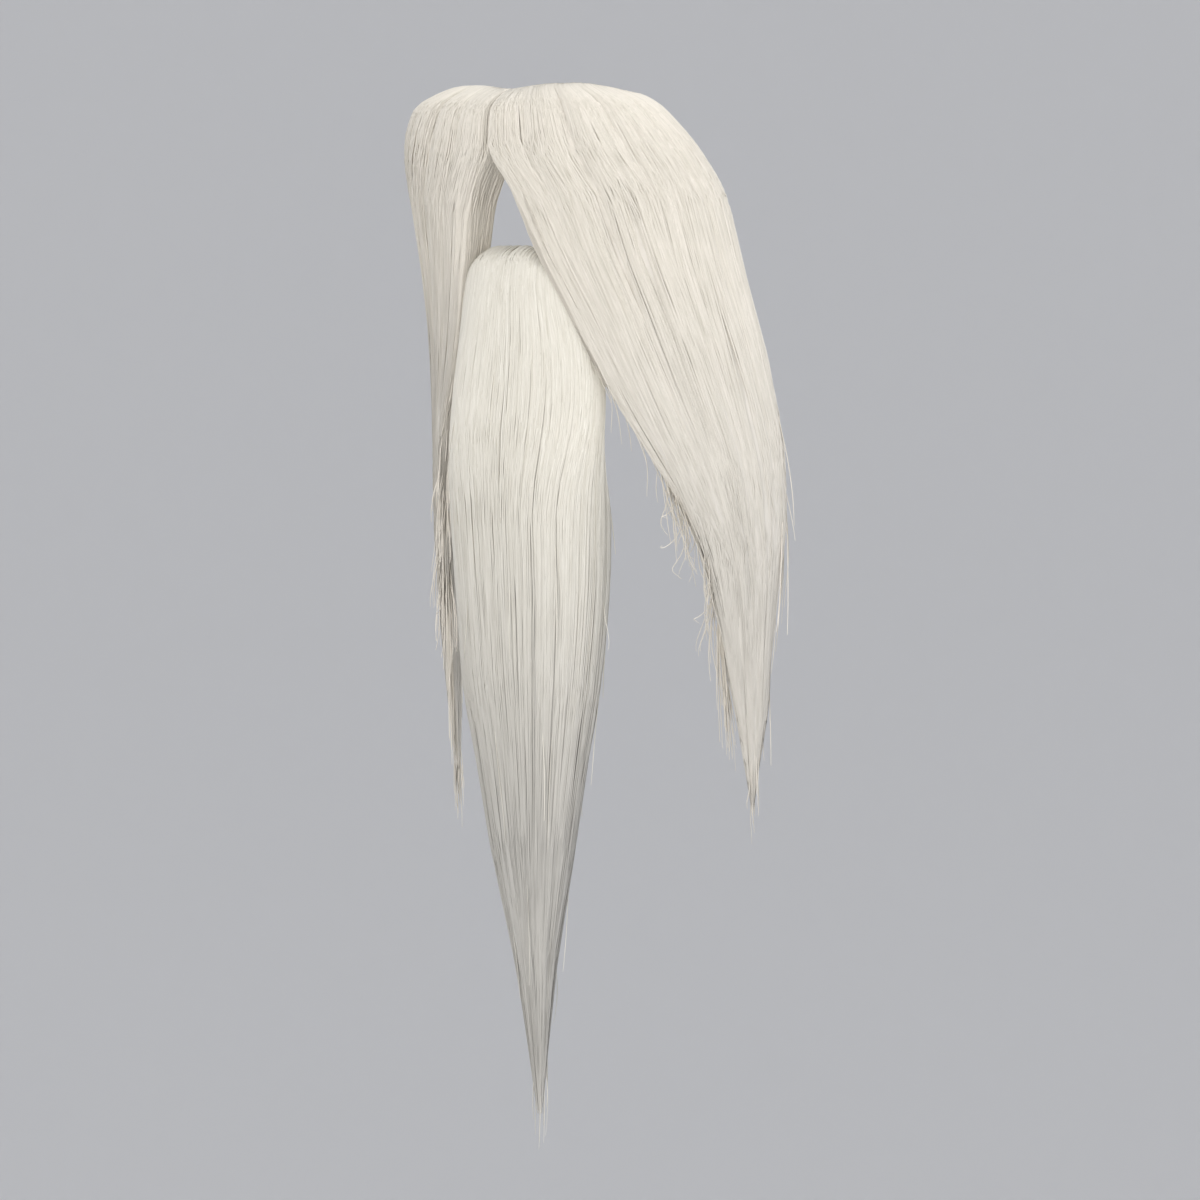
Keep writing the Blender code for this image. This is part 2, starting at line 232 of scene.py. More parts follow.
# A coat of fibres: the turns and the depths from the bundle's middle between which it lies, and
# how many clumps it falls into
Coat = namedtuple("Coat", "turn_low turn_high depth_low depth_high clumps")
FRONT_COAT = Coat(turn_low=0.0, turn_high=math.pi, depth_low=0.95, depth_high=1.0, clumps=15)
BACK_COAT = Coat(turn_low=math.pi, turn_high=2 * math.pi, depth_low=0.80, depth_high=1.0, clumps=12)
TUFT_COAT = Coat(turn_low=0.0, turn_high=2 * math.pi, depth_low=0.984, depth_high=1.0, clumps=80)
FRONT_SHARE = 0.78
TURN_STEPS = 721
SEEDS = {"moustache_left": 11, "moustache_right": 12, "chin_beard": 21}

# A light: its place, turned from the beard's front and above the horizon in degrees, its distance
# and size in metres, its power in watts and its colour
Light = namedtuple("Light", "name azimuth elevation distance size power colour")
LIGHTS = (
    Light("key", 20, 14, 1.5, 1.3, 11.5, (1.0, 0.975, 0.94)),
    Light("fill", 95, 8, 1.6, 1.3, 7.0, (0.99, 0.99, 1.0)),
    Light("far side", -60, 12, 1.6, 1.2, 1.8, (0.97, 0.98, 1.0)),
    Light("back", 165, 22, 1.6, 1.0, 6.0, (1.0, 1.0, 1.0)),
    Light("overhead", 0, 90, 3.2, 5.0, 62.0, (1.0, 1.0, 1.0)),
)
BEARD_MIDDLE = -0.108
CAMERA_SHIFT = 0.018
COVE_HEIGHT = 3.4
COVE_FOOT = 1.0


def smooth(start, stop, value):
    """Rise from 0 to 1 between two values, level at both."""
    share = np.clip((value - start) / (stop - start), 0.0, 1.0)
    return share * share * (3.0 - 2.0 * share)


def mix(low, high, share):
    """Go from one value to another by a share."""
    return low + (high - low) * share


def unit(vectors):
    """Scale vectors to a length of one."""
    return vectors / np.maximum(np.linalg.norm(vectors, axis=-1, keepdims=True), 1e-12)


def joined(groups):
    """Join groups of fibres into one."""
    return tuple(np.concatenate(part) for part in zip(*groups))


def along(table, column, key):
    """Read a table's column at drops, on a smooth curve through its rows."""
    drops = np.array([row.drop for row in table])
    values = np.array([getattr(row, column) for row in table])
    order = np.arange(len(drops))
    left = np.maximum(order - 1, 0)
    right = np.minimum(order + 1, len(drops) - 1)
    slopes = (values[right] - values[left]) / (drops[right] - drops[left])
    key = np.clip(key, drops[0], drops[-1])
    before = np.clip(np.searchsorted(drops, key, side="right") - 1, 0, len(drops) - 2)
    after = before + 1
    span = drops[after] - drops[before]
    share = (key - drops[before]) / span
    squared = share * share
    cubed = squared * share
    return ((2 * cubed - 3 * squared + 1) * values[before]
            + (cubed - 2 * squared + share) * span * slopes[before]
            + (3 * squared - 2 * cubed) * values[after]
            + (cubed - squared) * span * slopes[after])


def face_point(arc, drop, lift):
    """Place points by their arcs round the face, drops and lifts off the skin."""
    radius = mix(LIP_RADIUS, CHEEK_RADIUS, smooth(0.0, LIP_DROP, drop))
    setback = CHIN_SETBACK * smooth(SETBACK_START, SETBACK_END, drop)
    turn = arc / radius
    return np.stack((
        (radius + lift) * np.sin(turn),
        radius - (radius + lift) * np.cos(turn) + setback,
        -drop,
    ), axis=-1)


def tip_taper(share):
    """Round a lock off to its tip over its last stretch."""
    past = np.clip((share - TAPER_START) / (1.0 - TAPER_START), 0.0, 1.0)
    return np.maximum(np.sqrt(1.0 - past ** 2), TIP_SIZE)


def moustache_edges(drop):
    """Give the inner and outer edge of a half at drops, as arcs."""
    level = drop / MOUSTACHE_DROP
    inner = along(MOUSTACHE_EDGES, "inner", level) * MOUSTACHE_SPREAD + PARTING_GAP / 2
    return inner, along(MOUSTACHE_EDGES, "outer", level) * MOUSTACHE_SPREAD


def moustache_root(width_share):
    """Give the drop of the root line at shares of the half's width."""
    return -MOUSTACHE_RISE * along(MOUSTACHE_ROOTS, "rise", width_share)


def moustache_lifts(arc, drop):
    """Give how far the hair's back and front stand off its seat at arcs and drops."""
    inner, outer = moustache_edges(drop)
    thickness = along(MOUSTACHE_EDGES, "thickness", drop / MOUSTACHE_DROP) * MOUSTACHE_THICKNESS
    fronts = np.zeros(np.broadcast(arc, drop).shape)
    backs = np.full(fronts.shape, 1.0)
    for lock in MOUSTACHE_LOCKS:
        start = -MOUSTACHE_RISE * lock.root
        stop = MOUSTACHE_DROP * lock.end
        share = np.clip((drop - start) / (stop - start), 0.0, 1.0) ** (1 / ROOT_CROWDING)
        low = mix(inner, outer, mix(lock.root_low, lock.end_low, share))
        high = mix(inner, outer, mix(lock.root_high, lock.end_high, share))
        taper = tip_taper(share)
        across = (arc - (low + high) / 2) / ((high - low) / 2 * taper)
        bulge = np.sqrt(np.clip(1.0 - across ** 2, 0.0, 1.0))
        height = thickness * lock.height * taper
        inside = np.abs(across) < 1.0
        front = np.where(inside, height * (LOCK_BELLY + (1 - LOCK_BELLY) * bulge), 0.0)
        fronts += front ** LOCK_BLEND
        backs = np.minimum(backs, np.where(inside, height * LOCK_BELLY * (1 - bulge), 1.0))
    fronts = fronts ** (1 / LOCK_BLEND)
    edge = thickness * LOCK_BELLY * 0.8
    fronts = np.where(fronts < edge * 0.1, edge, fronts)
    return np.where(backs > 0.9, edge, backs), fronts


def chin_point(across, forward, share):
    """Place points of the tuft from their places in a unit circle and shares of its length."""
    drop = CHIN_TOP + share * CHIN_LENGTH
    width = along(CHIN_SECTIONS, "width", np.maximum(share, CHIN_ROOT_END))
    half_width = width * CHIN_WIDTH / 2
    half_depth = along(CHIN_SECTIONS, "depth", share) * CHIN_DEPTH / 2
    sway = along(CHIN_SECTIONS, "sway", share) * CHIN_SWAY
    crown = 1 - CHIN_CROWN * across ** 2
    on_chin = face_point(half_width * across, drop, HAIR_SEAT + half_depth * (1 + forward) * crown)
    hanging = np.stack((half_width * across, sway - half_depth * forward, -drop), axis=-1)
    points = mix(on_chin, hanging, smooth(HANG_START, HANG_END, drop)[..., None])
    points[..., 1] -= along(CHIN_FILLING, "lift", share) * np.maximum(forward, 0.0) ** 2
    return points


def chin_root(across):
    """Give the share of the tuft's length where its root line lies, lower towards its sides."""
    return CHIN_ROOT_END * np.clip((np.abs(across) - 0.25) / 0.75, 0.0, 1.0) ** 1.9


def chin_reach(turn, share):
    """Give how far the tuft's locks reach out at turns and shares of its length."""
    reach = np.full(np.broadcast(turn, share).shape, CHIN_CORE_RADIUS) ** STRAND_BLEND
    for lock in CHIN_LOCKS:
        own = np.clip((share - lock.root) / (lock.end - lock.root), 0.0, 1.0) ** (1 / ROOT_CROWDING)
        radius = lock.radius * tip_taper(own)
        out = lock.out + (lock.radius - radius) * 0.5
        apart = turn - math.radians(lock.turn)
        inside = radius ** 2 - (out * np.sin(apart)) ** 2
        far = out * np.cos(apart) + np.sqrt(np.maximum(inside, 0.0))
        met = (inside > 0) & (np.cos(apart) > 0) & (share >= lock.root) & (share <= lock.end)
        reach = reach + np.where(met, far, 0.0) ** STRAND_BLEND
    return reach ** (1 / STRAND_BLEND)


def fibre_shares(rng, count, shares, spread):
    """Give each fibre its own set of shares, so that no bend is lined up between neighbours."""
    return np.array(shares)[None, :] ** rng.uniform(1 - spread, 1 + spread, (count, 1))


def wander(rng, groups, group_of, shares, size, waves):
    """Give groups of fibres smooth sideways paths with no offset at their roots."""
    offset = np.zeros(shares.shape)
    for wave in waves:
        phase = rng.uniform(0, 2 * math.pi, groups)[group_of][:, None]
        strength = rng.normal(0, size / wave, groups)[group_of][:, None]
        offset += strength * (np.sin(2 * math.pi * wave * shares + phase) - np.sin(phase))
    return offset


def gather(values, clump_of, pull):
    """Draw fibres towards the middle of their clumps."""
    totals = np.bincount(clump_of, weights=values)
    middles = totals / np.maximum(np.bincount(clump_of), 1)
    return values[:, None] + (middles[clump_of] - values)[:, None] * pull


def rolled(drop, start, roll):
    """Give how far hair has risen to its full height at drops below its root line."""
    below = np.clip((drop - start) / roll, 0.0, 1.0)
    return np.sqrt(1 - (1 - below) ** 2)


def crease_depth(place, width, level):
    """Give how far the moustache's creases sink below its front at places across it and levels."""
    depth = np.zeros(np.broadcast(place, level).shape)
    for crease in MOUSTACHE_CREASES:
        down = np.clip((level - crease.start) / (crease.end - crease.start), 0.0, 1.0)
        middle = mix(crease.top, crease.third, np.minimum(down * 3, 1.0))
        middle = mix(middle, crease.foot, np.clip(down * 1.5 - 0.5, 0.0, 1.0))
        off = (place - middle) * width / crease.width
        fade = smooth(0.0, 0.25, down) * (1 - smooth(0.55, 1.0, down))
        depth = depth + crease.depth * fade * np.exp(-off ** 2)
    return depth


def lock_column(name, lock_of):
    """Give one value of the locks that fibres belong to."""
    return np.array([getattr(lock, name) for lock in MOUSTACHE_LOCKS])[lock_of][:, None]


def lock_point(side, lock_of, turn, depth, share, start):
    """Place points round the locks of a half, at turns, depths from their middles and shares."""
    column = {name: lock_column(name, lock_of) for name in Lock._fields}
    own = share ** (1 / ROOT_CROWDING)
    taper = tip_taper(own)
    across = np.cos(turn)
    fullness = np.where((column["root_low"] == 0) & (across < 0), PARTING_FULLNESS, LOCK_FULLNESS)
    bulge = np.sign(np.sin(turn)) * (1 - np.abs(across) ** fullness) ** (1 / fullness)
    place = mix(mix(column["root_low"], column["end_low"], own),
                mix(column["root_high"], column["end_high"], own), (1 + across * depth * taper) / 2)
    drop = mix(start, MOUSTACHE_DROP * column["end"], share)
    inner, outer = moustache_edges(drop)
    level = drop / MOUSTACHE_DROP
    height = along(MOUSTACHE_EDGES, "thickness", level) * MOUSTACHE_THICKNESS * column["height"] * taper
    reach = np.where(bulge > 0, 1 - LOCK_BELLY, LOCK_BELLY)
    crease = crease_depth(place, outer - inner, level) * (bulge > 0)
    fuller = 1 + PARTING_RISE * (1 - smooth(0.0, 0.30, place)) * (1 - smooth(0.02, 0.14, level))
    lift = height * (LOCK_BELLY + bulge * depth * reach) * np.where(bulge > 0, fuller, 1.0) - crease
    lift = np.maximum(lift, 0.0) * rolled(drop, start, ROOT_ROLL)
    points = face_point(side * mix(inner, outer, np.clip(place, 0.0, 1.0)), drop, HAIR_SEAT + lift)
    return points, np.clip(level, 0.0, 1.0), crease


def moustache_paths(side, rng, count, coat):
    """Comb a coat of fibres down one half of the moustache."""
    shares = fibre_shares(rng, count, MOUSTACHE_SHARES, MOUSTACHE_SHARE_SPREAD)
    widths = np.array([lock.root_high - lock.root_low for lock in MOUSTACHE_LOCKS])
    reached = np.cumsum(widths) / widths.sum() * count
    lock_of = np.minimum(np.searchsorted(reached, np.arange(count)), len(MOUSTACHE_LOCKS) - 1)
    first = np.concatenate(((0.0,), reached))[lock_of]
    spot = (np.arange(count) - first + rng.random(count)) / (reached[lock_of] - first)
    spot = np.clip(spot, 0.0, 0.9999)
    clump_of = lock_of * coat.clumps + (spot * coat.clumps).astype(int)
    total = coat.clumps * len(MOUSTACHE_LOCKS)
    pull = rng.random((count, 1)) * (0.05 + 0.32 * shares)
    turn = gather(mix(coat.turn_low, coat.turn_high, spot), clump_of, pull)
    turn = turn + wander(rng, total, clump_of, shares, 0.05, (1, 2))
    turn = turn + wander(rng, count, np.arange(count), shares, 0.035, (1, 3))
    reach = 1 - np.abs(rng.normal(0, 0.05, count))
    early = rng.random(count) < 0.35
    reach = np.where(early, rng.uniform(0.55, 1.0, count), reach)[:, None]
    depth = rng.uniform(coat.depth_low, coat.depth_high, count)[:, None]
    depth = depth + rng.normal(0, 0.008, total)[clump_of][:, None]
    start = moustache_root(mix(lock_column("root_low", lock_of), lock_column("root_high", lock_of),
                               (1 + np.cos(turn[:, :1]) * depth) / 2))
    start = start + np.abs(rng.normal(0, 0.00035, (count, 1)))
    paths, level, crease = lock_point(side, lock_of, turn, depth, shares * reach, start)
    beside = lock_point(side, lock_of, turn + 0.05, depth, shares * reach, start)[0]
    outward = unit(side * np.cross(beside - paths, np.gradient(paths, axis=1)))
    facing = unit(paths * np.array((1.0, 1.0, 0.0)) - np.array((0.0, CHEEK_RADIUS, 0.0)))
    parted = (lock_of == 0)[:, None] * smooth(0.6 * math.pi, math.pi, turn)
    outward = outward + facing * (np.where(np.sin(turn) > 0, 0.8, 0.0) + 1.2 * parted)[..., None]
    tone = 0.5 + rng.normal(0, 0.14, count) + rng.normal(0, 0.03, total)[clump_of]
    # Fibres in a crease get a darker tone by its depth: painted shade in the crease
    return paths, outward, np.clip(tone[:, None] - CREASE_SHADE * crease, 0.0, 1.0), level


def chin_paths(rng, count, coat):
    """Comb a coat of fibres down the tuft."""
    clumps = coat.clumps
    shares = fibre_shares(rng, count, CHIN_SHARES, CHIN_SHARE_SPREAD)
    turns = np.linspace(coat.turn_low, coat.turn_high, TURN_STEPS)
    spacing = np.cumsum(np.hypot(CHIN_WIDTH * np.sin(turns), CHIN_DEPTH * np.cos(turns)))
    spacing = (spacing - spacing[0]) / (spacing[-1] - spacing[0])
    turn = np.interp((rng.permutation(count) + rng.random(count)) / count, spacing, turns)
    clump_of = (turn / (2 * math.pi) * clumps).astype(int) % clumps
    turn = gather(turn, clump_of, rng.random((count, 1)) * (0.05 + 0.20 * shares))
    turn = turn + wander(rng, clumps, clump_of, shares, 0.010, (1, 2))
    turn = turn + wander(rng, count, np.arange(count), shares, 0.014, (1, 3))
    behind = np.sin(turn[:, 0]) < -0.15
    root = np.where(rng.random(count) < 0.75, 0.0, rng.uniform(0.0, 0.12, count))
    root = root + chin_root(np.cos(turn[:, 0])) + np.abs(rng.normal(0, 0.0028, count))
    root = np.where(behind, rng.uniform(0.13, 0.17, count), root)[:, None]
    end = 1 - np.abs(rng.normal(0, 0.06, count))
    early = rng.random(count) < 0.45
    end = np.where(early, rng.uniform(0.45, 1.0, count), end)[:, None]
    share = mix(root, end, shares)
    depth = rng.uniform(coat.depth_low, coat.depth_high, count)[:, None]
    depth = depth + rng.normal(0, 0.003, clumps)[clump_of][:, None]
    rise = rolled(share * CHIN_LENGTH, root * CHIN_LENGTH, CHIN_ROLL)
    depth = depth * np.where(behind[:, None], mix(0.8, 1.0, rise), 1.0)
    paths = tuft_point(turn, depth, share, rise)
    beside = np.stack((-CHIN_WIDTH * np.sin(turn), -CHIN_DEPTH * np.cos(turn), np.zeros(turn.shape)), axis=-1)
    outward = unit(np.cross(beside, np.gradient(paths, axis=1) * np.array((0.6, 0.6, 1.0))))
    tone = 0.5 + rng.normal(0, 0.14, count) + rng.normal(0, 0.02, clumps)[clump_of]
    tone = np.broadcast_to(np.clip(tone, 0.0, 1.0)[:, None], share.shape)
    return paths, outward, tone, np.clip(share, 0.0, 1.0)


def tuft_point(turn, depth, share, rise):
    """Place points of the tuft at turns, depths from its middle and shares of its length."""
    reach = chin_reach(turn, share) * depth
    forward = reach * np.sin(turn)
    on_chin = share * CHIN_LENGTH + CHIN_TOP < HANG_START
    forward = np.where(on_chin, (1 + forward) * rise - 1, forward)
    return chin_point(reach * np.cos(turn), forward, share)


# A group of stray fibres: how many there are, the stretch of the bundle that they leave, how long
# they are, and how far they drift and curl, in metres
Strays = namedtuple("Strays", "count first last length drift curl")
MOUSTACHE_LASH = Strays(count=16, first=0.50, last=0.97, length=0.014, drift=0.0008, curl=0.0016)
MOUSTACHE_FRAY = Strays(count=80, first=0.52, last=0.72, length=0.019, drift=0.0030, curl=0.0042)
MOUSTACHE_WISP = Strays(count=40, first=0.74, last=0.80, length=0.027, drift=0.0012, curl=0.0003)
MOUSTACHE_EDGE = Strays(count=14, first=0.30, last=0.92, length=0.024, drift=0.0009, curl=0.0008)
MOUSTACHE_TIP = Strays(count=14, first=0.88, last=0.96, length=0.013, drift=0.0008, curl=0.0008)
CHIN_SIDES = Strays(count=36, first=0.12, last=0.90, length=0.024, drift=0.0011, curl=0.0010)
CHIN_TIP = Strays(count=14, first=0.90, last=0.975, length=0.014, drift=0.0008, curl=0.0007)


def stray_paths(rng, strays, starts, following, middles, level):
    """Let single fibres leave a bundle the way it runs, drift off, turn down and curl."""
    count = len(starts)
    shares = np.linspace(0, 1, STRAY_POINTS)[None, :, None]
    down = np.array((0.0, 0.0, -1.0))
    drift = unit(starts - middles)
    heading = unit(following - starts)
    heading = mix(heading, down, rng.uniform(0.0, 0.5, (count, 1, 1)) * shares)
    length = strays.length * rng.uniform(0.5, 1.1, (count, 1, 1))
    push = strays.drift * rng.uniform(0.2, 1.2, (count, 1, 1)) * np.sin(shares * math.pi * 0.62)
    phase = rng.uniform(0, 2 * math.pi, (count, 1, 1))
    turn = phase + 2 * math.pi * rng.uniform(0.2, 0.65, (count, 1, 1)) * shares
    swing = strays.curl * rng.uniform(0.0, 1.0, (count, 1, 1)) ** 2 * smooth(0.0, 1.0, shares)
    aside = np.cross(drift, down) * rng.uniform(-0.6, 0.6, (count, 1, 1))
    paths = (starts + heading * length * shares + (drift + aside) * push
             + swing * (drift * (np.cos(turn) - np.cos(phase)) - down * (np.sin(turn) - np.sin(phase))))
    outward = np.broadcast_to(0.4 * drift + np.array((0.0, -1.0, 0.0)), paths.shape)
    # Strays take a lighter tone than the combed fibres: painted light, so that thin strays turned from the
    # lamps don't read dark
    tone = np.broadcast_to(rng.uniform(0.6, 1.0, (count, 1)), paths.shape[:2])
    return paths, outward, tone, np.broadcast_to(level * 0.5, paths.shape[:2])


def moustache_strays(side, rng):
    """Make the stray fibres of one half: frayed inside, loose outside and at the tip."""
    groups = []
    for strays, locks, turn_low, turn_high in (
            (MOUSTACHE_LASH, (0,), 0.85 * math.pi, 1.10 * math.pi),
            (MOUSTACHE_FRAY, (1,), 0.85 * math.pi, 1.10 * math.pi),
            (MOUSTACHE_WISP, (1,), 0.97 * math.pi, 1.03 * math.pi),
            (MOUSTACHE_EDGE, (3, 4), -0.1 * math.pi, 0.3 * math.pi),
            (MOUSTACHE_TIP, (2, 3), 0.0, 2 * math.pi)):
        lock_of = rng.choice(locks, strays.count)
        turn = rng.uniform(turn_low, turn_high, (strays.count, 1))
        share = rng.uniform(strays.first, strays.last, (strays.count, 1))
        root = np.zeros((strays.count, 1))
        starts, level, _ = lock_point(side, lock_of, turn, 0.97, share, root)
        following = lock_point(side, lock_of, turn, 0.97, share + 0.02, root)[0]
        middles = lock_point(side, lock_of, turn, 0.0, share, root)[0]
        groups.append(stray_paths(rng, strays, starts, following, middles, level))
    return joined(groups)


def chin_strays(rng):
    """Make the stray fibres of the tuft, at its sides and its tip."""
    groups = []
    for strays in (CHIN_SIDES, CHIN_TIP):
        turn = rng.uniform(0, 2 * math.pi, (strays.count, 1))
        share = rng.uniform(strays.first, strays.last, (strays.count, 1))
        starts = tuft_point(turn, 0.98, share, 1.0)
        following = tuft_point(turn, 0.98, share + 0.02, 1.0)
        middles = tuft_point(turn, 0.2, share, 1.0)
        groups.append(stray_paths(rng, strays, starts, following, middles, share))
    return joined(groups)


def edge_paths(side, rng, count):
    """Hang fibres down the inner edge of one half, where its cloth and the parting would show."""
    shares = fibre_shares(rng, count, MOUSTACHE_SHARES, MOUSTACHE_SHARE_SPREAD)
    root = moustache_root(np.zeros(1))
    first = np.where(rng.random((count, 1)) < 0.5, root, rng.uniform(0.002, 0.012, (count, 1)))
    first = first + np.abs(rng.normal(0, 0.00035, (count, 1)))
    drop = mix(first, rng.uniform(0.036, 0.062, (count, 1)), shares)
    inner, _ = moustache_edges(drop)
    height = along(MOUSTACHE_EDGES, "thickness", drop / MOUSTACHE_DROP) * MOUSTACHE_THICKNESS
    up = rng.uniform(0.05, 1.4, (count, 1))
    over = np.maximum(up - 1.0, 0.0)
    up = np.minimum(up, 1.0)
    arc = inner + rng.uniform(-0.0002, 0.0003, (count, 1)) + 0.00035 * up ** 6 + 0.007 * over
    arc = np.maximum(arc, 0.0001)
    lift = up * (HAIR_SEAT + (0.78 + 0.2 * over) * height)
    lift = lift * mix(0.3, 1.0, rolled(drop, root, ROOT_ROLL))
    paths = face_point(side * arc, drop, lift)
    outward = np.broadcast_to(np.array((-0.5 * side, -1.0, 0.0)), paths.shape)
    tone = np.broadcast_to(rng.uniform(0.3, 0.8, (count, 1)), drop.shape)
    return paths, outward, tone, drop / MOUSTACHE_DROP


def tube_mesh(name, paths, outward, radii, tone, level, softness):
    """Join thin tubes along paths into one mesh, with each fibre's tone and level as UVs.

    A tube turns a flat side outwards. Softness leans that side's shading towards the bundle's own
    surface.
    """
    tangent = unit(np.gradient(paths, axis=1))
    sideways = unit(np.cross(tangent, outward))
    upward = np.cross(sideways, tangent)
    turns = 2 * math.pi * (np.arange(FIBRE_SIDES) + 0.5) / FIBRE_SIDES - math.pi / 2
    ring = (sideways[:, :, None, :] * np.cos(turns)[None, None, :, None]
            - upward[:, :, None, :] * np.sin(turns)[None, None, :, None])
    vertices = (paths[:, :, None, :] + ring * radii[:, :, None, None]).reshape(-1, 3)
    index = np.arange(len(vertices)).reshape(paths.shape[0], paths.shape[1], FIBRE_SIDES)
    here = index[:, :-1, :]
    below = index[:, 1:, :]
    quads = np.stack((here, np.roll(here, -1, axis=2), np.roll(below, -1, axis=2), below), axis=-1)
    caps = np.concatenate((index[:, 0, ::-1], index[:, -1, :]))
    corners = np.concatenate((quads.reshape(-1), caps.reshape(-1)))
    sizes = np.concatenate((np.full(quads.size // 4, 4), np.full(len(caps), 3)))
    mesh = bpy.data.meshes.new(name)
    mesh.vertices.add(len(vertices))
    mesh.vertices.foreach_set("co", vertices.astype(np.float32).reshape(-1))
    mesh.loops.add(len(corners))
    mesh.loops.foreach_set("vertex_index", corners.astype(np.int32))
    mesh.polygons.add(len(sizes))
    mesh.polygons.foreach_set("loop_start", (np.cumsum(sizes) - sizes).astype(np.int32))
    mesh.update(calc_edges=True)
    mesh.polygons.foreach_set("use_smooth", np.ones(len(sizes), dtype=bool))
    tones = np.broadcast_to(tone[:, :, None], index.shape).reshape(-1)
    levels = np.broadcast_to(level[:, :, None], index.shape).reshape(-1)
    uv = np.stack((tones[corners], levels[corners]), axis=-1)
    mesh.uv_layers.new(name="fibre").data.foreach_set("uv", uv.astype(np.float32).reshape(-1))
    lean = np.where(np.sin(turns) < 0, softness, 0.0)[None, None, :, None]
    leaned = unit(mix(ring, upward[:, :, None, :], lean))
    mesh.normals_split_custom_set_from_vertices(leaned.reshape(-1, 3))
    return mesh


def fibre_radii(rng, points, width, tip):
    """Give each point of each fibre its radius, thinner towards the end."""
    shares = np.linspace(0, 1, points.shape[1])[None, :]
    thick = width / 2 * rng.uniform(0.75, 1.2, (points.shape[0], 1))
    return thick * mix(1.0, tip, smooth(0.7, 1.0, shares))


def ring_mesh(name, rings, levels):
    """Close a smooth body through rings of points, with the place round it and its level as UVs.

    A ring's second half runs back behind its first, so its ends are closed by a row of small faces.
    """
    rows, around, _ = rings.shape
    index = np.arange(rows * around).reshape(rows, around)
    quads = np.stack((index[:-1], np.roll(index[:-1], -1, axis=1),
                      np.roll(index[1:], -1, axis=1), index[1:]), axis=-1).reshape(-1, 4)
    faces = quads.tolist()
    for ring in (index[0].tolist(), index[-1].tolist()):
        for place in range(around // 2):
            faces.append(list(dict.fromkeys((ring[place], ring[place + 1], ring[-place - 1], ring[-place]))))
    mesh = bpy.data.meshes.new(name)
    mesh.from_pydata(rings.reshape(-1, 3).tolist(), [], faces)
    layer = mesh.uv_layers.new(name="fibre").data
    for face in mesh.polygons:
        columns = [mesh.loops[loop].vertex_index % around for loop in face.loop_indices]
        seam = len(columns) == 4 and max(columns) - min(columns) > 1
        for loop, column in zip(face.loop_indices, columns):
            vertex = mesh.loops[loop].vertex_index
            place = 1.0 if seam and column == 0 else column / around
            layer[loop].uv = (place, levels[vertex // around])
    mesh.polygons.foreach_set("use_smooth", [True] * len(mesh.polygons))
    return mesh


def add_piece(context, mesh, material, node):
    """Show a mesh as a finished piece that stands for a node of the frame."""
    piece = bpy.data.objects.new(mesh.name, mesh)
    context.scene.collection.objects.link(piece)
    mesh.materials.append(material)
    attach(piece, "root")
    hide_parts(node)
    return piece


def add_fibres(context, name, rng, group, width, tip, softness, material, slot, node):
    """Show a group of fibres as a finished piece."""
    paths, outward, tone, level = group
    radii = fibre_radii(rng, paths, width, tip)
    mesh = tube_mesh(name, paths, outward, radii, tone, level, softness)
    add_piece(context, mesh, material, node)


def face_outwards(context, piece):
    """Turn a closed piece's faces outwards."""
    bpy.ops.object.select_all(action="DESELECT")
    context.view_layer.objects.active = piece
    piece.select_set(True)
    bpy.ops.object.mode_set(mode="EDIT")
    bpy.ops.mesh.select_all(action="SELECT")
    bpy.ops.mesh.normals_make_consistent(inside=False)
    bpy.ops.object.mode_set(mode="OBJECT")
    piece.select_set(False)


def moustache_underlay(name, side):
    """Make the plain body under one half's fibres."""
    front = (1 - np.cos(np.linspace(0, math.pi, UNDERLAY_PLACES))) / 2
    behind = front[-2:0:-1]
    shares = np.linspace(0, 1, UNDERLAY_SECTIONS)
    rings = []
    for share in shares:
        row = []
        for places, depth in ((front, UNDERLAY_DEPTH), (behind, 1 - UNDERLAY_DEPTH)):
            start = moustache_root(places) + UNDERLAY_START
            drop = mix(start, MOUSTACHE_DROP * UNDERLAY_END, share ** ROOT_CROWDING)
            inner, outer = moustache_edges(drop)
            arc = mix(inner, outer, mix(UNDERLAY_INSET, 1 - UNDERLAY_INSET, places))
            low, high = moustache_lifts(arc, drop)
            high = high - crease_depth(places, outer - inner, drop / MOUSTACHE_DROP)
            lift = mix(low, high, depth) * rolled(drop + 0.0004, start, ROOT_ROLL)
            row.append(face_point(side * arc, drop, HAIR_SEAT + lift))
        rings.append(np.concatenate(row))
    return ring_mesh(name, np.array(rings), shares)


def chin_underlay(name):
    """Make the plain body under the tuft's fibres."""
    shares = np.linspace(0, 1, CHIN_UNDERLAY_SECTIONS)
    turns = np.linspace(0, 2 * math.pi, CHIN_UNDERLAY_SIDES, endpoint=False)
    root = np.where(np.sin(turns) < 0, CHIN_ROOT_END, chin_root(np.cos(turns))) + CHIN_UNDERLAY_START
    rings = []
    for share in shares:
        own = mix(root, UNDERLAY_END, share ** ROOT_CROWDING)
        rise = rolled(own * CHIN_LENGTH + 0.0003, root * CHIN_LENGTH, CHIN_ROLL)
        rings.append(tuft_point(turns, CHIN_UNDERLAY_DEPTH, own, rise))
    return ring_mesh(name, np.array(rings), shares)


class Wire:
    """A shader value. Arithmetic on it adds Math nodes."""

    def __init__(self, tree, socket):
        self.tree = tree
        self.socket = socket

    def math(self, operation, *values):
        """Add one Math node on values."""
        return add_node(self.tree, "ShaderNodeMath", {"operation": operation},
                        dict(enumerate(values)))

    def __add__(self, other):
        return self.math("ADD", self, other)

    def __sub__(self, other):
        return self.math("SUBTRACT", self, other)

    def __rsub__(self, other):
        return self.math("SUBTRACT", other, self)

    def __mul__(self, other):
        return self.math("MULTIPLY", self, other)

    def clamped(self):
        """Keep the value from 0 to 1."""
        return self.math("MINIMUM", self.math("MAXIMUM", self, 0.0), 1.0)

    __radd__ = __add__
    __rmul__ = __mul__


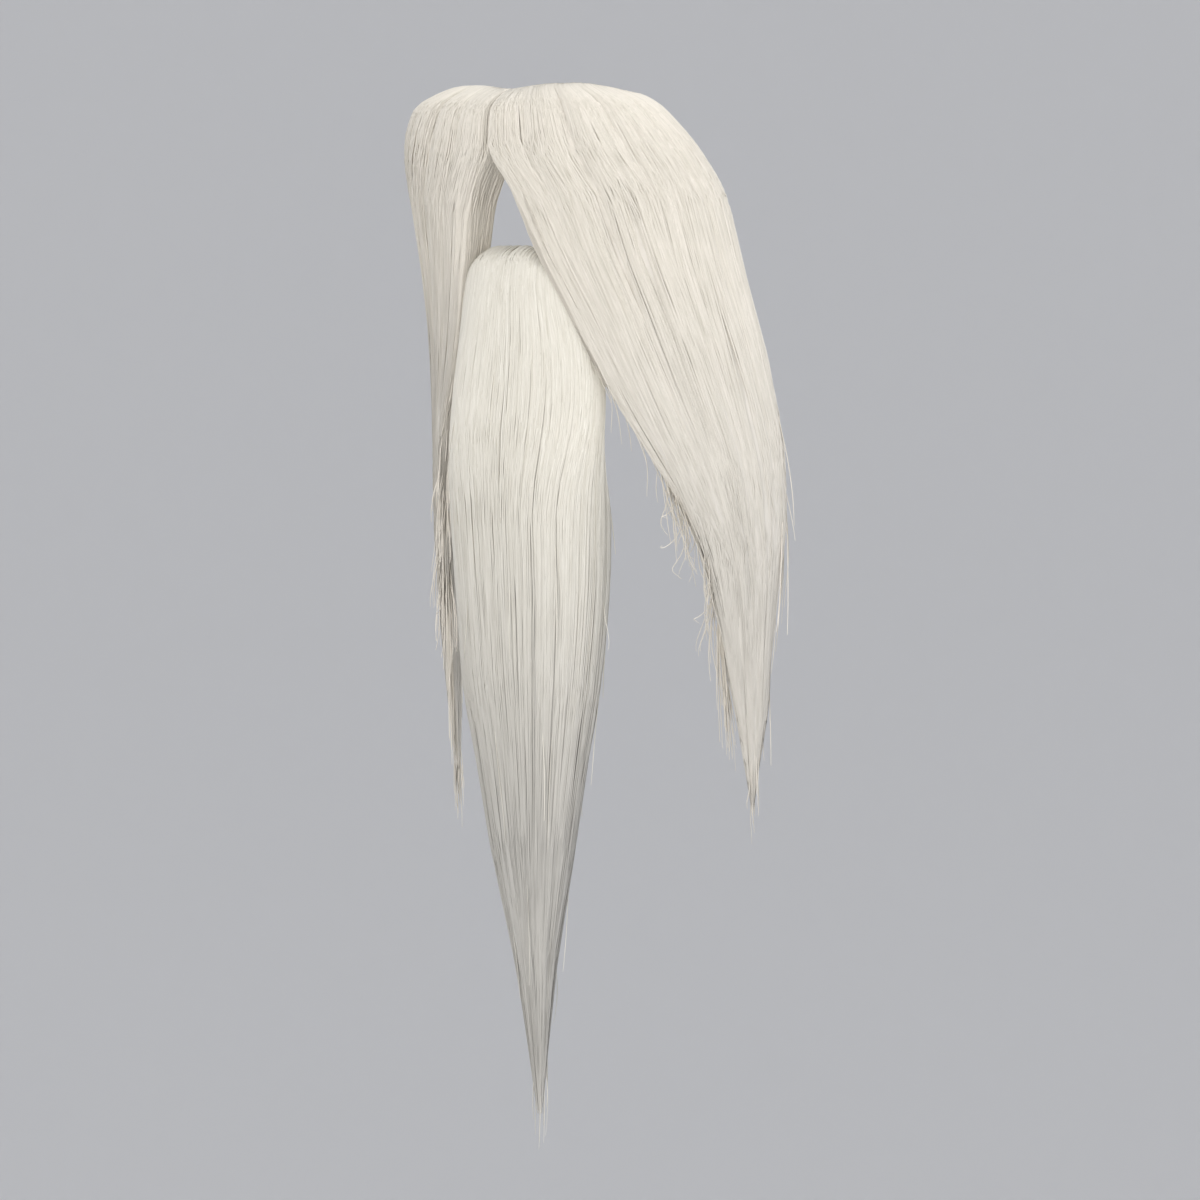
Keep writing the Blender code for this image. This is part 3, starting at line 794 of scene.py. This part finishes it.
def add_node(tree, kind, settings=None, inputs=None, output=0):
    """Add a node, set it up, and link or set its inputs."""
    node = tree.nodes.new(kind)
    for name, value in (settings or {}).items():
        setattr(node, name, value)
    for key, value in (inputs or {}).items():
        if isinstance(value, Wire):
            tree.links.new(value.socket, node.inputs[key])
        else:
            node.inputs[key].default_value = value
    return Wire(tree, node.outputs[output])


def mixed(tree, share, low, high):
    """Mix two colours by a share."""
    return add_node(tree, "ShaderNodeMix", {"data_type": "RGBA"}, {0: share, 6: low, 7: high}, output=2)


def new_material(name):
    """Start a material and give its tree and shader."""
    material = bpy.data.materials.new(name)
    material.use_nodes = True
    return material, material.node_tree, material.node_tree.nodes["Principled BSDF"]


def fibre_material(name, settings, light, cool_end_shade, combed):
    """Make satin fibre: each fibre has its own tone, the ends turn darker and cooler, painted shade where the
    light falls off down the hair with a cooler tint, and the underlay is painted lighter against the shade in
    the gaps between fibres.
    """
    material, tree, shader = new_material(name)
    place = add_node(tree, "ShaderNodeUVMap", {"uv_map": "fibre"})
    parts = tree.nodes.new("ShaderNodeSeparateXYZ")
    tree.links.new(place.socket, parts.inputs[0])
    tone = Wire(tree, parts.outputs[0])
    level = Wire(tree, parts.outputs[1])
    scale = (60.0, 30.0, 1.0) if combed else (420.0, 26.0, 1.0)
    lines = add_node(tree, "ShaderNodeMapping", {}, {"Vector": place, "Scale": scale})
    streaks = add_node(tree, "ShaderNodeTexNoise", {}, {"Vector": lines, "Scale": 1.0, "Detail": 3.0})
    # The underlay is painted lighter than the fibres: painted light against the shade that falls in the gaps
    # between them
    if combed:
        tone = streaks + 0.3
    share = (tone * 0.8 + streaks * 1.1 - 0.4).clamped()
    base = mixed(tree, share, tuple(settings.shade_colour) + (1.0,), tuple(light) + (1.0,))
    # The ends are painted darker and cooler: painted shade where the light falls off down the hair, with a
    # cooler tint
    cool_shaded_ends = ((level - 0.22) * 2.1).clamped() * cool_end_shade
    base = mixed(tree, cool_shaded_ends, base, tuple(settings.cool_end_shade_colour) + (1.0,))
    tree.links.new(base.socket, shader.inputs["Base Color"])
    if combed:
        bump = add_node(tree, "ShaderNodeBump", {}, {"Strength": 0.6, "Distance": 0.0004, "Height": streaks})
        tree.links.new(bump.socket, shader.inputs["Normal"])
    shader.inputs["Roughness"].default_value = settings.roughness
    shader.inputs["Specular IOR Level"].default_value = settings.gloss
    return material


def cloth_material(settings):
    """Make plain-woven beard cloth with a faint mottle."""
    material, tree, shader = new_material("beard cloth")
    where = add_node(tree, "ShaderNodeTexCoord", output=3)
    parts = tree.nodes.new("ShaderNodeSeparateXYZ")
    tree.links.new(where.socket, parts.inputs[0])
    turns = 2 * math.pi / settings.weave_pitch
    warp = Wire(tree, parts.outputs[0]) * turns
    weft = Wire(tree, parts.outputs[2]) * turns
    warp = warp.math("SINE", warp)
    weft = weft.math("SINE", weft)
    weave = warp * weft * 0.5 + 0.5
    mottle = add_node(tree, "ShaderNodeTexNoise", {}, {"Vector": where, "Scale": 90.0, "Detail": 4.0})
    share = (weave * 0.35 + mottle * 0.65).clamped()
    base = mixed(tree, share, tuple(settings.cloth_shade) + (1.0,), tuple(settings.cloth_colour) + (1.0,))
    tree.links.new(base.socket, shader.inputs["Base Color"])
    bump = add_node(tree, "ShaderNodeBump", {}, {"Strength": 0.5, "Distance": 0.00025, "Height": weave})
    tree.links.new(bump.socket, shader.inputs["Normal"])
    shader.inputs["Roughness"].default_value = 0.9
    return material


def colour_setting(name, description, default):
    """Make a setting that is a colour."""
    return bpy.props.FloatVectorProperty(
        name=name, description=description, default=default, subtype="COLOR", min=0, max=1)


def factor_setting(name, description, default, top=1):
    """Make a setting that is a share."""
    return bpy.props.FloatProperty(
        name=name, description=description, default=default, subtype="FACTOR", min=0, max=top)


def length_setting(name, description, default, precision=2):
    """Make a setting that is a length."""
    return bpy.props.FloatProperty(
        name=name, description=description, default=default, unit="LENGTH", precision=precision)


class FalseBeardHair(bpy.types.PropertyGroup):
    """Sizes and colours of the fibre."""

    moustache_fibres: bpy.props.IntProperty(
        name="Moustache fibres", description="Fibres in one half of the moustache", default=2100)
    edge_fibres: bpy.props.IntProperty(
        name="Edge fibres", description="Fibres down the inner edge of one half", default=440)
    chin_fibres: bpy.props.IntProperty(
        name="Chin fibres", description="Fibres in the chin tuft", default=1780)
    fibre_width: length_setting("Fibre width", "Width of a fibre at its root", 0.00036, precision=5)
    stray_width: length_setting("Stray width", "Width of a stray fibre", 0.00021, precision=5)
    softness: factor_setting(
        "Softness", "How far a fibre is shaded as part of its bundle's surface", 0.75, top=0.95)
    stray_softness: factor_setting(
        "Stray softness", "How far a stray fibre is shaded as if it faced forwards", 0.6, top=0.95)
    light_colour: colour_setting(
        "Warm ivory", "Colour of the chin tuft's lightest fibres", (0.93, 0.895, 0.80))
    moustache_colour: colour_setting(
        "Pale ivory", "Colour of the moustache's lightest fibres", (0.93, 0.868, 0.77))
    shade_colour: colour_setting("Shade", "Colour of the darkest fibres", (0.70, 0.66, 0.56))
    # The cool ends colour is darker than the fibres: painted shade towards the ends, with a cooler tint; the
    # two shares below say how far each piece takes it
    cool_end_shade_colour: colour_setting("Cool ends", "Colour that the ends turn to", (0.52, 0.505, 0.475))
    moustache_cool_end_shade: factor_setting(
        "Moustache coolness", "How far the moustache's ends turn to the cool colour", 0.50)
    chin_cool_end_shade: factor_setting("Chin coolness", "How far the tuft's end turns to the cool colour", 0.80)
    roughness: factor_setting("Roughness", "Roughness of the fibre", 0.42)
    gloss: factor_setting("Gloss", "Specular level of the fibre", 0.4)


class FalseBeardCloth(bpy.types.PropertyGroup):
    """Sizes and colours of the foundation."""

    cloth_colour: colour_setting("Cloth", "Lightest colour of the beard cloth", (0.80, 0.74, 0.64))
    cloth_shade: colour_setting("Cloth shade", "Darkest colour of the beard cloth", (0.66, 0.59, 0.49))
    weave_pitch: length_setting(
        "Weave pitch", "Distance from thread to thread, twice over", 0.0011, precision=5)


class FalseBeardStage(bpy.types.PropertyGroup):
    """Camera, backdrop and lights."""

    azimuth: bpy.props.FloatProperty(
        name="Azimuth", description="Turn of the camera round the beard",
        default=math.radians(48), subtype="ANGLE")
    elevation: bpy.props.FloatProperty(
        name="Elevation", description="Height of the camera above the horizon",
        default=math.radians(1), subtype="ANGLE")
    distance: length_setting("Distance", "Camera to beard", 2.5)
    lens: bpy.props.FloatProperty(
        name="Lens", description="Focal length in millimetres", default=345.0)
    backdrop: colour_setting("Backdrop", "Colour of the floor and the cove", (0.74, 0.74, 0.745))
    floor_drop: length_setting("Floor", "How far the floor lies below the nose", 1.2)
    cove_radius: length_setting("Cove radius", "Radius of the round backdrop", 4.0)


class FALSEBEARD_OT_foundation(bpy.types.Operator):
    """Give the cloth foundation its woven finish."""

    bl_idname = "false_beard.foundation"
    bl_label = "Finish the foundation"

    def execute(self, context):
        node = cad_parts["foundation"]
        node.data.materials.clear()
        node.data.materials.append(cloth_material(context.scene.false_beard_cloth))
        return {"FINISHED"}


class FALSEBEARD_OT_moustache(bpy.types.Operator):
    """Cover both halves of the moustache with combed fibre."""

    bl_idname = "false_beard.moustache"
    bl_label = "Comb the moustache"

    def execute(self, context):
        settings = context.scene.false_beard_hair
        looks = (settings, settings.moustache_colour, settings.moustache_cool_end_shade)
        fibre = fibre_material("moustache fibre", *looks, False)
        combed = fibre_material("moustache underlay", *looks, True)
        for side, node in ((1, "moustache_left"), (-1, "moustache_right")):
            rng = np.random.default_rng(SEEDS[node])
            body = add_piece(context, moustache_underlay(node + "_underlay", side), combed,
                             node)
            face_outwards(context, body)
            front = int(settings.moustache_fibres * FRONT_SHARE)
            coats = joined((
                moustache_paths(side, rng, front, FRONT_COAT),
                moustache_paths(side, rng, settings.moustache_fibres - front, BACK_COAT),
            ))
            combed_shape = (settings.fibre_width, FIBRE_TIP, settings.softness)
            stray_shape = (settings.stray_width, STRAY_TIP, settings.stray_softness)
            finish = (fibre, "moustache_hair", node)
            add_fibres(context, node + "_fibres", rng, coats, *combed_shape, *finish)
            edge = edge_paths(side, rng, settings.edge_fibres)
            add_fibres(context, node + "_edge", rng, edge, *combed_shape, *finish)
            strays = moustache_strays(side, rng)
            add_fibres(context, node + "_strays", rng, strays, *stray_shape, *finish)
        return {"FINISHED"}


class FALSEBEARD_OT_chin_tuft(bpy.types.Operator):
    """Cover the chin tuft with combed fibre."""

    bl_idname = "false_beard.chin_tuft"
    bl_label = "Comb the chin tuft"

    def execute(self, context):
        settings = context.scene.false_beard_hair
        rng = np.random.default_rng(SEEDS["chin_beard"])
        looks = (settings, settings.light_colour, settings.chin_cool_end_shade)
        combed = fibre_material("chin underlay", *looks, True)
        body = add_piece(context, chin_underlay("chin_beard_underlay"), combed, "chin_beard")
        face_outwards(context, body)
        finish = (fibre_material("chin fibre", *looks, False), "chin_hair", "chin_beard")
        coat = chin_paths(rng, settings.chin_fibres, TUFT_COAT)
        add_fibres(context, "chin_beard_fibres", rng, coat, settings.fibre_width, FIBRE_TIP,
                   settings.softness, *finish)
        strays = chin_strays(rng)
        add_fibres(context, "chin_beard_strays", rng, strays, settings.stray_width, STRAY_TIP,
                   settings.stray_softness, *finish)
        return {"FINISHED"}


def direction(azimuth, elevation):
    """Point from the beard towards an azimuth, turned from its front, and an elevation."""
    return Vector((math.sin(azimuth) * math.cos(elevation), -math.cos(azimuth) * math.cos(elevation),
                   math.sin(elevation)))


class FALSEBEARD_OT_stage(bpy.types.Operator):
    """Set up the round backdrop, the lights and the camera."""

    bl_idname = "false_beard.stage"
    bl_label = "Set the stage"

    def cove(self, context, settings):
        """Model a round room with a rounded foot and no ceiling."""
        bpy.ops.object.select_all(action="DESELECT")
        bpy.ops.mesh.primitive_cylinder_add(
            vertices=96, radius=settings.cove_radius, depth=COVE_HEIGHT,
            location=(0, 0, COVE_HEIGHT / 2 - settings.floor_drop))
        cove = context.object
        cove.name = "cove"
        bpy.ops.object.transform_apply(location=True, rotation=True, scale=True)
        bpy.ops.object.mode_set(mode="EDIT")
        bpy.ops.mesh.select_all(action="DESELECT")
        bpy.ops.object.mode_set(mode="OBJECT")
        top = max(vertex.co.z for vertex in cove.data.vertices)
        for face in cove.data.polygons:
            face.select = face.normal.z > 0.5
        bpy.ops.object.mode_set(mode="EDIT")
        bpy.ops.mesh.delete(type="ONLY_FACE")
        bpy.ops.mesh.select_all(action="DESELECT")
        bpy.ops.object.mode_set(mode="OBJECT")
        for edge in cove.data.edges:
            low = [cove.data.vertices[index].co.z < top - COVE_FOOT for index in edge.vertices]
            edge.select = all(low)
        bpy.ops.object.mode_set(mode="EDIT")
        bpy.ops.mesh.bevel(offset=COVE_FOOT, segments=12, affect="EDGES")
        bpy.ops.mesh.select_all(action="SELECT")
        bpy.ops.mesh.normals_make_consistent(inside=True)
        bpy.ops.object.mode_set(mode="OBJECT")
        bpy.ops.object.shade_smooth()
        material, _, shader = new_material("backdrop")
        shader.inputs["Base Color"].default_value = tuple(settings.backdrop) + (1.0,)
        shader.inputs["Roughness"].default_value = 0.95
        cove.data.materials.append(material)
        cove.select_set(False)

    def light(self, context, light, target):
        """Add one soft light that the camera doesn't see."""
        offset = direction(math.radians(light.azimuth), math.radians(light.elevation))
        data = bpy.data.lights.new(light.name, "AREA")
        data.shape = "DISK"
        data.size = light.size
        data.energy = light.power
        data.color = light.colour
        lamp = bpy.data.objects.new(light.name, data)
        context.scene.collection.objects.link(lamp)
        lamp.location = target + offset * light.distance
        lamp.rotation_euler = offset.to_track_quat("Z", "Y").to_euler()
        lamp.visible_camera = False

    def execute(self, context):
        settings = context.scene.false_beard_stage
        self.cove(context, settings)
        for light in LIGHTS:
            self.light(context, light, Vector((0, 0.01, BEARD_MIDDLE)))
        world = bpy.data.worlds.new("studio")
        world.use_nodes = True
        background = world.node_tree.nodes["Background"]
        background.inputs["Color"].default_value = (0.9, 0.93, 1.0, 1.0)
        background.inputs["Strength"].default_value = 0.45
        context.scene.world = world
        context.scene.view_settings.view_transform = "Standard"
        data = bpy.data.cameras.new("camera")
        data.lens = settings.lens
        data.clip_end = 20
        camera = bpy.data.objects.new("camera", data)
        context.scene.collection.objects.link(camera)
        right = Vector((math.cos(settings.azimuth), math.sin(settings.azimuth), 0))
        back = direction(settings.azimuth, settings.elevation)
        target = right * CAMERA_SHIFT + Vector((0, 0, BEARD_MIDDLE))
        camera.location = target + back * settings.distance
        camera.rotation_mode = "QUATERNION"
        camera.rotation_quaternion = back.to_track_quat("Z", "Y")
        context.scene.camera = camera
        return {"FINISHED"}


class FALSEBEARD_PT_panel(bpy.types.Panel):
    """Lists the beard's steps."""

    bl_label = "False Beard"
    bl_space_type = "VIEW_3D"
    bl_region_type = "UI"
    bl_category = "False Beard"

    def draw(self, context):
        for step in STEPS:
            self.layout.operator(step.bl_idname)
        for group in (context.scene.false_beard_hair, context.scene.false_beard_cloth,
                      context.scene.false_beard_stage):
            for name in group.__annotations__:
                self.layout.prop(group, name)


STEPS = (
    FALSEBEARD_OT_foundation,
    FALSEBEARD_OT_moustache,
    FALSEBEARD_OT_chin_tuft,
    FALSEBEARD_OT_stage,
)
GROUPS = (
    ("false_beard_hair", FalseBeardHair),
    ("false_beard_cloth", FalseBeardCloth),
    ("false_beard_stage", FalseBeardStage),
)


def register():
    """Add the add-on's classes and settings."""
    for name, group in GROUPS:
        bpy.utils.register_class(group)
        setattr(bpy.types.Scene, name, bpy.props.PointerProperty(type=group))
    for step in STEPS + (FALSEBEARD_PT_panel,):
        bpy.utils.register_class(step)


def unregister():
    """Take the add-on's classes and settings away."""
    for step in reversed(STEPS + (FALSEBEARD_PT_panel,)):
        bpy.utils.unregister_class(step)
    for name, group in GROUPS:
        delattr(bpy.types.Scene, name)
        bpy.utils.unregister_class(group)


def main():
    """Build all the looks."""
    register()
    bpy.ops.object.select_all(action="DESELECT")
    bpy.ops.false_beard.foundation()
    bpy.ops.false_beard.moustache()
    bpy.ops.false_beard.chin_tuft()
    bpy.ops.false_beard.stage()


if __name__ == "__main__":
    main()
